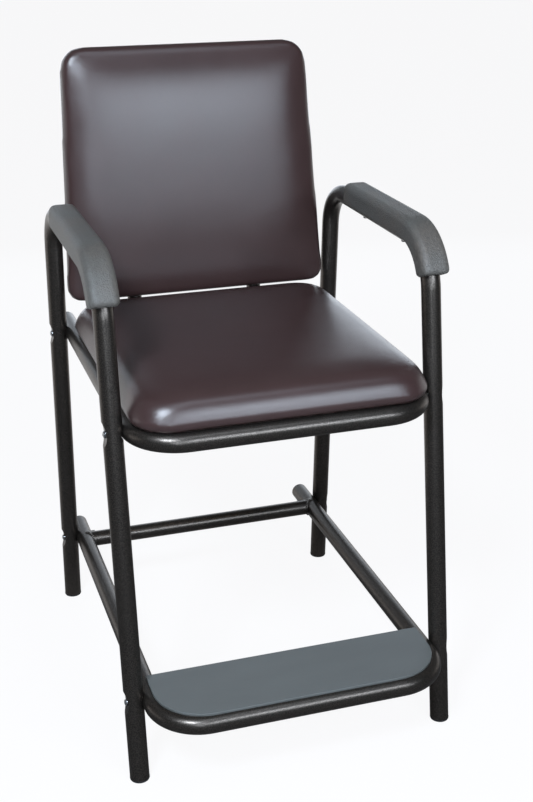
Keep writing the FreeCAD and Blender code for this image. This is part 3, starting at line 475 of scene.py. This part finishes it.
def zinc_finish(name, base):
    """Zinc plate with faint spangle and dulling."""
    finish = Finish(name)
    place = finish.place()
    dull = finish.noise(place, scale=300.0, detail=4.0, roughness=0.6)
    spangle = finish.cells(place, scale=700.0)
    shade = finish.tint(dull, colour(base, 0.72), colour(base, 1.05))
    return finish.surface(
        base_color=shade,
        metallic=1.0,
        roughness=0.24 + dull * 0.16,
        normal=finish.bump(spangle + dull, strength=0.08, distance=0.0002),
    )


def wood_finish(name, base):
    """Raw plywood with long grain."""
    finish = Finish(name)
    along = finish.place(scale=(8.0, 120.0, 120.0))
    streak = finish.noise(along, scale=1.0, detail=5.0, roughness=0.6)
    pores = finish.noise(finish.place(scale=(40.0, 900.0, 900.0)), scale=1.0, detail=2.0)
    mask = finish.steps(streak * 0.75 + pores * 0.25, [(0.3, 0.0), (0.7, 1.0)])
    return finish.surface(
        base_color=finish.tint(mask, colour(base, 0.70), colour(base, 1.15)),
        roughness=0.62 + pores * 0.15,
        normal=finish.bump(streak + pores, strength=0.2, distance=0.0004),
    )


def set_material(mesh, material):
    """Makes a material the only one of a mesh."""
    mesh.materials.clear()
    mesh.materials.append(material)


def dress(names, material):
    """Gives CAD nodes a material."""
    for name in names:
        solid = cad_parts[name]
        set_material(solid.data, material)


# Modelling tools

# Smoothing moves a vertex by this share of the way to its neighbours' middle
SMOOTHING = 0.5
# Facets of a cushion's rounded corner
CORNER_SEGMENTS = 10
# Shifts shorter than this, in metres, count as none
TINY = 1e-7
# Faces this near to a cushion's underside lie flat on it
FLAT_BAND = 0.0008
# Step, in metres, that finds the slope of a distance
NUDGE = 0.0005


def new_piece(name, mesh, material):
    """Links a mesh as a piece that rides on the chair."""
    piece = bpy.data.objects.new(name, mesh)
    bpy.context.scene.collection.objects.link(piece)
    set_material(mesh, material)
    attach(piece, BODY)
    return piece


def settle(piece):
    """Makes what the modifiers give the piece's own mesh."""
    graph = bpy.context.evaluated_depsgraph_get()
    made = bpy.data.meshes.new_from_object(piece.evaluated_get(graph))
    old = piece.data
    piece.modifiers.clear()
    piece.data = made
    bpy.data.meshes.remove(old)


def voxel_skin(piece, voxel):
    """Even mesh over the piece."""
    remesh = piece.modifiers.new("voxels", "REMESH")
    remesh.mode = "VOXEL"
    remesh.voxel_size = voxel
    settle(piece)


def relax(piece, rounds, free=None, axes="XYZ"):
    """Smooths the mesh along some axes, all of it or only the vertices that are free."""
    shape = bmesh.new()
    shape.from_mesh(piece.data)
    chosen = [v for v in shape.verts if free is None or free(v.co)]
    for _ in range(rounds):
        bmesh.ops.smooth_vert(
            shape,
            verts=chosen,
            factor=SMOOTHING,
            use_axis_x="X" in axes,
            use_axis_y="Y" in axes,
            use_axis_z="Z" in axes,
        )
    shape.to_mesh(piece.data)
    shape.free()


def subdivide(piece):
    """One round of subdivision, kept."""
    smooth = piece.modifiers.new("smooth", "SUBSURF")
    smooth.levels = 1
    smooth.render_levels = 1
    settle(piece)
    piece.data.shade_smooth()


def cushion_blank(outline, sections):
    """Cushion lying flat: a rounded outline raised section by section.

    outline holds low, high, half_low, half_high, radius_low and radius_high;
    sections are pairs of height and reach beyond the outline.
    """
    blank = bmesh.new()
    bmesh.ops.create_grid(blank, x_segments=1, y_segments=1, size=1.0)
    middle = (outline["low"] + outline["high"]) / 2
    deep = (outline["high"] - outline["low"]) / 2
    wide = (outline["half_low"] + outline["half_high"]) / 2
    bmesh.ops.scale(blank, vec=(outline["half_low"], deep, 1.0), verts=blank.verts)
    bmesh.ops.translate(blank, vec=(0.0, middle, 0.0), verts=blank.verts)
    upper = [v for v in blank.verts if v.co.y > middle]
    lower = [v for v in blank.verts if v.co.y < middle]
    narrow = outline["half_high"] / outline["half_low"]
    bmesh.ops.scale(blank, vec=(narrow, 1.0, 1.0), verts=upper)
    for corners, radius in ((upper, outline["radius_high"]), (lower, outline["radius_low"])):
        bmesh.ops.bevel(
            blank,
            geom=corners,
            affect="VERTICES",
            offset=radius,
            offset_type="OFFSET",
            segments=CORNER_SEGMENTS,
            profile=0.5,
            material=-1,
            clamp_overlap=False,
        )
    blank.faces.ensure_lookup_table()
    top = blank.faces[0]
    centre = Matrix.Translation((0.0, -middle, 0.0))
    was_high, was_out = 0.0, 0.0
    for height, reach in sections:
        raised = bmesh.ops.extrude_face_region(blank, geom=[top])
        top = [item for item in raised["geom"] if isinstance(item, bmesh.types.BMFace)][0]
        ring = list(top.verts)
        grow = ((wide + reach) / (wide + was_out), (deep + reach) / (deep + was_out), 1.0)
        bmesh.ops.scale(blank, vec=grow, space=centre, verts=ring)
        bmesh.ops.translate(blank, vec=(0.0, 0.0, height - was_high), verts=ring)
        was_high, was_out = height, reach
    bmesh.ops.recalc_face_normals(blank, faces=blank.faces)
    return blank


def swell(piece, settings, cap, held):
    """Swells a cushion skin with simulated cloth; held vertices stay."""
    start = [v.co.copy() for v in piece.data.vertices]
    group = piece.vertex_groups.new(name="held")
    group.add([v.index for v in piece.data.vertices if held(v.co)], 1.0, "REPLACE")
    cloth = piece.modifiers.new("swell", "CLOTH")
    cloth.settings.quality = 5
    cloth.settings.mass = 0.3
    cloth.settings.tension_stiffness = 6.0
    cloth.settings.compression_stiffness = 6.0
    cloth.settings.shear_stiffness = 3.0
    cloth.settings.bending_stiffness = 6.0
    cloth.settings.use_pressure = True
    cloth.settings.uniform_pressure_force = settings.pressure
    cloth.settings.vertex_group_mass = "held"
    cloth.settings.effector_weights.gravity = 0.0
    cloth.collision_settings.use_collision = False
    scene = bpy.context.scene
    for step in range(1, settings.steps + 1):
        scene.frame_set(step)
    settle(piece)
    scene.frame_set(1)
    for vertex, origin in zip(piece.data.vertices, start):
        shift = vertex.co - origin
        if shift.length > TINY:
            vertex.co = origin + shift.normalized() * cap * math.tanh(shift.length / cap)


def open_hem(piece, outline, inset, radius, lift):
    """Opens the underside inside the hem, with a turned edge up to the board.

    The opening lies inset from the outline, with corners of the radius given.
    """
    shape = bmesh.new()
    shape.from_mesh(piece.data)
    wide = outline["half_low"] - inset
    low, high = outline["low"] + inset, outline["high"] - inset

    def outside(point):
        """Distance from the opening's edge, below 0 inside it."""
        across = abs(point.x) - (wide - radius)
        along = abs(point.y - (low + high) / 2) - ((high - low) / 2 - radius)
        if across > 0 and along > 0:
            return math.hypot(across, along) - radius
        return max(across, along) - radius

    base = min(v.co.z for v in shape.verts)
    flat = [
        face
        for face in shape.faces
        if face.calc_center_median().z < base + FLAT_BAND
        and outside(face.calc_center_median()) < 0
    ]
    bmesh.ops.delete(shape, geom=flat, context="FACES")
    rim = [edge for edge in shape.edges if edge.is_boundary]
    for vertex in {v for edge in rim for v in edge.verts}:
        gap = outside(vertex.co)
        slope = Vector(
            (
                outside(vertex.co + Vector((NUDGE, 0, 0))) - gap,
                outside(vertex.co + Vector((0, NUDGE, 0))) - gap,
                0.0,
            )
        )
        if slope.length > TINY:
            vertex.co -= slope.normalized() * gap
    made = bmesh.ops.extrude_edge_only(shape, edges=rim)["geom"]
    lifted = [item for item in made if isinstance(item, bmesh.types.BMVert)]
    bmesh.ops.translate(shape, vec=(0.0, 0.0, lift), verts=lifted)
    loop = [item for item in made if isinstance(item, bmesh.types.BMEdge)]
    bmesh.ops.holes_fill(shape, edges=[edge for edge in loop if edge.is_boundary], sides=0)
    bmesh.ops.recalc_face_normals(shape, faces=shape.faces)
    shape.to_mesh(piece.data)
    shape.free()


# Pieces

MM = 0.001
# Lying flat, a cushion has an outline, in metres, and sections: heights and reaches
# beyond the outline, in millimetres. Its cover is held below a height. The rest is
# smoothed in rounds, then evened upwards of each height given, and the crown is how far
# the middle of its face rises.
SEAT = {
    "outline": {
        "low": -0.252,
        "high": 0.258,
        "half_low": 0.222,
        "half_high": 0.222,
        "radius_low": 0.058,
        "radius_high": 0.045,
    },
    "sections": (
        (0.1, 3.0),
        (3.5, 5.6),
        (8, 7.8),
        (14, 8.9),
        (18, 8.6),
        (22, 7.4),
        (26, 5.6),
        (30, 3.5),
        (34, 1.2),
        (38, -1.4),
        (41.5, -4.0),
        (44.5, -7.0),
        (47, -10.6),
        (49, -15.5),
        (50.3, -22.0),
        (51, -31.0),
        (51.3, -44.0),
    ),
    "held_below": 0.016,
    "rounds": 8,
    "evened": ((0.036, 8), (0.042, 10), (0.046, 12), (0.0495, 18)),
    "crown": 0.0040,
}
BACK = {
    "outline": {
        "low": -0.0025,
        "high": 0.413,
        "half_low": 0.22812,
        "half_high": 0.20816,
        "radius_low": 0.025,
        "radius_high": 0.036,
    },
    "sections": (
        (0.1, 1.6),
        (3, 3.2),
        (7, 4.4),
        (12, 5.0),
        (19, 5.0),
        (24, 4.6),
        (27.4, 3.2),
        (29.4, 0.6),
        (30.3, -3.0),
        (30.5, -7.0),
    ),
    "held_below": 0.013,
    "rounds": 3,
    "evened": ((0.0285, 4), (0.0295, 20)),
    "crown": 0.0145,
}
# The seat's hem: how far its edge lies inside the outline, its corners, its turned edge
HEM_INSET = 0.032
HEM_RADIUS = 0.035
HEM_LIFT = 0.0015
# Underside of the seat's cover
SEAT_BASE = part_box("seat_cover")[0].z
# Foot of the backrest's rear face, its lean, and how far ahead of it the cover starts
BACK_PLACE = (0.0, 0.2788, 0.6023)
BACK_TURN = math.radians(-7.9)
BACK_AHEAD = 0.003
# Rounds that take the voxel steps out of a skin's outline
OUTLINE_ROUNDS = 4
# Vertices this near to the lowest one are laid flat
BASE_BAND = 0.0012
# Powers of the dome on a cushion's face: the higher, the flatter its middle
DOME_ACROSS = 8
DOME_ALONG = 4
# The rear panel's vinyl has a deeper grain than the cushions'
PANEL_GRAIN = 1.4
# Rounds that smooth the arm pads
PAD_ROUNDS = 3
# Points nearer than this, in metres, are one
SAME_POINT = 1e-5


def in_metres(sections):
    """Section table in metres."""
    return [(height * MM, reach * MM) for height, reach in sections]


def crown(piece, outline, held_below, rise):
    """Raises the face in one smooth dome that ends at the outline."""
    middle = (outline["low"] + outline["high"]) / 2
    deep = (outline["high"] - outline["low"]) / 2
    full = max(v.co.z for v in piece.data.vertices)
    for vertex in piece.data.vertices:
        along = (vertex.co.y - middle) / deep
        share = (along + 1) / 2
        half = outline["half_low"] * (1 - share) + outline["half_high"] * share
        across = vertex.co.x / half
        dome = max(0.0, 1 - across**DOME_ACROSS) * max(0.0, 1 - along**DOME_ALONG)
        part = min(1.0, max(0.0, (vertex.co.z - held_below) / (full - held_below)))
        vertex.co.z += rise * dome * part


def stuffed(name, cushion, cap, settings, material):
    """Cushion skin over a blank, swollen and smoothed, still lying flat."""
    outline = cushion["outline"]
    held_below = cushion["held_below"]
    blank = cushion_blank(outline, in_metres(cushion["sections"]))
    mesh = bpy.data.meshes.new(name)
    blank.to_mesh(mesh)
    blank.free()
    piece = new_piece(name, mesh, material)
    voxel_skin(piece, settings.voxel)

    def held(point):
        return point.z < held_below

    def free(point):
        return point.z > held_below

    relax(piece, OUTLINE_ROUNDS, axes="XY")
    relax(piece, 1, free)
    swell(piece, settings, cap, held)
    relax(piece, cushion["rounds"], free)
    for above, rounds in cushion["evened"]:
        relax(piece, rounds, lambda point: point.z > above, axes="Z")
    crown(piece, outline, held_below, cushion["crown"])
    subdivide(piece)
    lowest = min(v.co.z for v in piece.data.vertices)
    for vertex in piece.data.vertices:
        if vertex.co.z < lowest + BASE_BAND:
            vertex.co.z = 0.0
    set_material(piece.data, material)
    return piece


class HIPCHAIR_OT_seat_cushion(bpy.types.Operator):
    """Seat cushion: vinyl stretched over foam and a board"""

    bl_idname = "hip_chair.seat_cushion"
    bl_label = "Seat cushion"

    def execute(self, context):
        chair = context.scene.hip_chair
        material = vinyl_finish("seat_vinyl", chair.colours.vinyl)
        settings = chair.cushions
        piece = stuffed("seat_cushion", SEAT, settings.seat_cap, settings, material)
        open_hem(piece, SEAT["outline"], HEM_INSET, HEM_RADIUS, HEM_LIFT)
        piece.data.transform(Matrix.Translation((0.0, 0.0, SEAT_BASE)))
        piece.data.shade_smooth()
        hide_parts("seat_cover", "seat_foam")
        return {"FINISHED"}


class HIPCHAIR_OT_back_cushion(bpy.types.Operator):
    """Backrest cushion and the panel behind it"""

    bl_idname = "hip_chair.back_cushion"
    bl_label = "Backrest cushion"

    def execute(self, context):
        chair = context.scene.hip_chair
        material = vinyl_finish("back_vinyl", chair.colours.vinyl)
        settings = chair.cushions
        piece = stuffed("back_cushion", BACK, settings.back_cap, settings, material)
        stand = Matrix.Rotation(math.radians(90), 4, "X")
        lean = Matrix.Rotation(BACK_TURN, 4, "X")
        front = Matrix.Translation((0.0, 0.0, BACK_AHEAD))
        piece.data.transform(Matrix.Translation(BACK_PLACE) @ lean @ stand @ front)
        piece.data.shade_smooth()
        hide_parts("back_cover", "back_foam")
        panel = vinyl_finish("panel_vinyl", chair.colours.vinyl, PANEL_GRAIN)
        dress(["back_rear_panel"], panel)
        return {"FINISHED"}


class HIPCHAIR_OT_arm_pads(bpy.types.Operator):
    """Moulded arm pads over the arm tubes"""

    bl_idname = "hip_chair.arm_pads"
    bl_label = "Arm pads"

    def execute(self, context):
        chair = context.scene.hip_chair
        material = pad_finish("arm_pad_skin", chair.colours.pad)
        for side in ("right", "left"):
            node = side + "_arm_pad"
            shape = bmesh.new()
            shape.from_mesh(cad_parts[node].data)
            bmesh.ops.remove_doubles(shape, verts=shape.verts, dist=SAME_POINT)
            mesh = bpy.data.meshes.new(node + "_skin")
            shape.to_mesh(mesh)
            shape.free()
            piece = new_piece(node + "_skin", mesh, material)
            voxel_skin(piece, chair.cushions.pad_voxel)
            relax(piece, PAD_ROUNDS)
            set_material(piece.data, material)
            piece.data.shade_smooth()
            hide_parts(node)
        return {"FINISHED"}


class HIPCHAIR_OT_frame(bpy.types.Operator):
    """Powder coat on the tubes and the welds"""

    bl_idname = "hip_chair.frame"
    bl_label = "Frame finish"

    def execute(self, context):
        colours = context.scene.hip_chair.colours
        coat = paint_finish("frame_powder_coat", colours.paint)
        dress(BENT_TUBES + STRAIGHT_TUBES + SMALL_STEEL, coat)
        dress(["frame_welds"], weld_finish("weld_bead", colours.paint))
        return {"FINISHED"}


class HIPCHAIR_OT_foot_plate(bpy.types.Operator):
    """Satin laminate on the foot plate"""

    bl_idname = "hip_chair.foot_plate"
    bl_label = "Foot plate finish"

    def execute(self, context):
        colours = context.scene.hip_chair.colours
        dress(["foot_plate"], plate_finish("foot_plate_laminate", colours.plate))
        return {"FINISHED"}


class HIPCHAIR_OT_fittings(bpy.types.Operator):
    """Finishes of glides, plugs, fasteners and boards"""

    bl_idname = "hip_chair.fittings"
    bl_label = "Fittings finish"

    def execute(self, context):
        colours = context.scene.hip_chair.colours
        dress(PLASTIC, plastic_finish("glide_plastic", colours.plastic))
        dress(FASTENERS, zinc_finish("fastener_zinc", colours.zinc))
        dress(["seat_board", "back_board"], wood_finish("board_wood", colours.wood))
        return {"FINISHED"}


# Stage

# Half the side of the square floor
FLOOR_HALF = 30.0
# Share of its own light in what the floor shows; the rest is lit and takes the shadow
FLOOR_GLOW = 0.94
BLACK = (0.0, 0.0, 0.0, 1.0)
WHITE = (1.0, 1.0, 1.0, 1.0)
# Reflected surroundings from level, 0.5, to straight up, 1: white below, then dim
CEILING = [(0.55, 1.0), (0.62, 0.12)]
# Point that every lamp faces, and each lamp's name, place, width, height and setting
AIM = (0.0, 0.0, 0.7)
LAMPS = (
    ("key_box", (-1.3, -1.8, 2.5), 0.55, 0.55, "key_power"),
    ("left_box", (-0.75, -2.7, 1.35), 0.35, 0.9, "left_power"),
    ("right_box", (0.5, -1.9, 1.4), 1.1, 0.55, "right_power"),
    ("overhead_box", (0.4, -1.4, 3.8), 1.4, 1.0, "overhead_power"),
    ("rear_box", (0.6, 2.7, 0.95), 3.5, 1.1, "rear_power"),
)
# Long side of the camera's picture in millimetres, and how far it sees in metres
PICTURE_SIDE = 36.0
SIGHT = 200.0


def rays(nodes):
    """1 where the camera looks straight or through glass, and 1 where a reflection looks."""
    path = nodes.tree.nodes.new("ShaderNodeLightPath")
    wanted = ("Is Camera Ray", "Is Transmission Ray", "Is Glossy Ray")
    camera, through, glossy = [Value(nodes, path.outputs[name]) for name in wanted]
    return camera.larger(through), glossy


def studio_world(stage):
    """White surroundings, with a dim ceiling and a dim front half in reflections."""
    world = bpy.data.worlds.new("studio")
    world.use_nodes = True
    nodes = Nodes(world.node_tree)
    shown, glossy = rays(nodes)
    direction = nodes.add("ShaderNodeTexCoord", output="Generated")
    height = nodes.add("ShaderNodeSeparateXYZ", None, {0: direction}, "Z")
    behind = nodes.add("ShaderNodeSeparateXYZ", None, {0: direction}, "Y")
    ceiling = nodes.steps(height * 0.5 + 0.5, CEILING)
    sheet = nodes.steps(behind * 0.5 + 0.5, [(0.40, stage.front_dim), (0.55, 1.0)])
    seen = (shown * FLOOR_GLOW).larger(glossy * ceiling * sheet)
    backdrop = nodes.tint(seen, BLACK, colour(stage.floor))
    bright = nodes.add("ShaderNodeBackground", None, {"Color": backdrop, "Strength": 1.0})
    soft = nodes.add("ShaderNodeBackground", None, {"Color": WHITE, "Strength": stage.ambient})
    either = shown.larger(glossy)
    mixed = nodes.add("ShaderNodeMixShader", None, {0: either, 1: soft, 2: bright})
    nodes.plug(nodes.tree.nodes["World Output"].inputs["Surface"], mixed)
    return world


def floor_finish(stage):
    """Pale floor that stays near white and still takes the chair's shadow."""
    finish = Finish("pale_floor")
    finish.surface(base_color=colour(stage.floor), roughness=0.9, specular_ior_level=0.1)
    shown, glossy = rays(finish)
    along = finish.add("ShaderNodeSeparateXYZ", None, {0: finish.place()}, "Y")
    sheet = finish.steps(along * 0.25 + 0.5, [(0.55, stage.front_dim), (0.75, 1.0)])
    seen = shown.larger(glossy * sheet)
    backdrop = finish.tint(seen, BLACK, colour(stage.floor))
    glow = finish.add("ShaderNodeEmission", None, {"Color": backdrop, "Strength": 1.0})
    lit = Value(finish, finish.shader.outputs[0])
    share = shown.larger(glossy) * FLOOR_GLOW
    mixed = finish.add("ShaderNodeMixShader", None, {0: share, 1: lit, 2: glow})
    finish.plug(finish.tree.nodes["Material Output"].inputs["Surface"], mixed)
    return finish.material


def soft_box(name, place, wide, high, power, tint):
    """Rectangular soft box that faces the chair, itself out of the camera's sight."""
    lamp = bpy.data.lights.new(name, "AREA")
    lamp.shape = "RECTANGLE"
    lamp.size = wide
    lamp.size_y = high
    lamp.energy = power
    lamp.color = tint
    item = bpy.data.objects.new(name, lamp)
    bpy.context.scene.collection.objects.link(item)
    item.visible_camera = False
    item.location = place
    item.rotation_mode = "QUATERNION"
    item.rotation_quaternion = (Vector(AIM) - Vector(place)).to_track_quat("-Z", "Y")


def pale_floor(stage):
    """Square sheet that the chair stands on."""
    sheet = bmesh.new()
    bmesh.ops.create_grid(sheet, x_segments=1, y_segments=1, size=FLOOR_HALF)
    mesh = bpy.data.meshes.new("floor")
    sheet.to_mesh(mesh)
    sheet.free()
    mesh.materials.append(floor_finish(stage))
    floor = bpy.data.objects.new("floor", mesh)
    bpy.context.scene.collection.objects.link(floor)
    return floor


def photo_camera(stage):
    """Camera where the photograph was taken from."""
    lens = bpy.data.cameras.new("camera")
    lens.sensor_width = PICTURE_SIDE
    lens.lens = stage.lens
    lens.clip_end = SIGHT
    camera = bpy.data.objects.new("camera", lens)
    bpy.context.scene.collection.objects.link(camera)
    yaw, pitch, roll = stage.camera_turn
    level = math.cos(pitch)
    ahead = Vector((math.sin(yaw) * level, math.cos(yaw) * level, -math.sin(pitch)))
    right = ahead.cross(Vector((0.0, 0.0, 1.0))).normalized()
    up = right.cross(ahead)
    upright = Matrix((right, up, -ahead)).transposed()
    turned = upright @ Matrix.Rotation(roll, 3, "Z")
    camera.matrix_world = Matrix.Translation(stage.camera_place) @ turned.to_4x4()
    return camera


class HIPCHAIR_OT_stage(bpy.types.Operator):
    """Floor, surroundings, lamps and camera"""

    bl_idname = "hip_chair.stage"
    bl_label = "Stage"

    def execute(self, context):
        scene = context.scene
        stage = scene.hip_chair.stage
        scene.view_settings.view_transform = "Standard"
        floor = pale_floor(stage)
        scene.world = studio_world(stage)
        for name, place, wide, high, setting in LAMPS:
            soft_box(name, place, wide, high, getattr(stage, setting), stage.light)
        scene.camera = photo_camera(stage)
        return {"FINISHED"}


class HIPCHAIR_PT_panel(bpy.types.Panel):
    """Lists the steps that dress the chair"""

    bl_idname = "HIPCHAIR_PT_panel"
    bl_label = "High hip chair"
    bl_space_type = "VIEW_3D"
    bl_region_type = "UI"
    bl_category = "Hip Chair"

    def draw(self, context):
        chair = context.scene.hip_chair
        for group in (chair.colours, chair.cushions, chair.stage):
            box = self.layout.box()
            for name in group.bl_rna.properties.keys():
                if name not in ("rna_type", "name"):
                    box.prop(group, name)
        for step in STEPS:
            self.layout.operator(step.bl_idname)


STEPS = (
    HIPCHAIR_OT_stage,
    HIPCHAIR_OT_seat_cushion,
    HIPCHAIR_OT_back_cushion,
    HIPCHAIR_OT_arm_pads,
    HIPCHAIR_OT_frame,
    HIPCHAIR_OT_foot_plate,
    HIPCHAIR_OT_fittings,
)
GROUPS = (ChairColours, ChairCushions, ChairStage, ChairSettings)


def register():
    """Registers the settings, the steps and the panel."""
    for item in GROUPS + STEPS + (HIPCHAIR_PT_panel,):
        bpy.utils.register_class(item)
    bpy.types.Scene.hip_chair = PointerProperty(type=ChairSettings)


def unregister():
    """Removes what register() added."""
    del bpy.types.Scene.hip_chair
    for item in reversed(GROUPS + STEPS + (HIPCHAIR_PT_panel,)):
        bpy.utils.unregister_class(item)


def main():
    register()
    bpy.ops.hip_chair.stage()
    bpy.ops.hip_chair.seat_cushion()
    bpy.ops.hip_chair.back_cushion()
    bpy.ops.hip_chair.arm_pads()
    bpy.ops.hip_chair.frame()
    bpy.ops.hip_chair.foot_plate()
    bpy.ops.hip_chair.fittings()


if __name__ == "__main__":
    main()
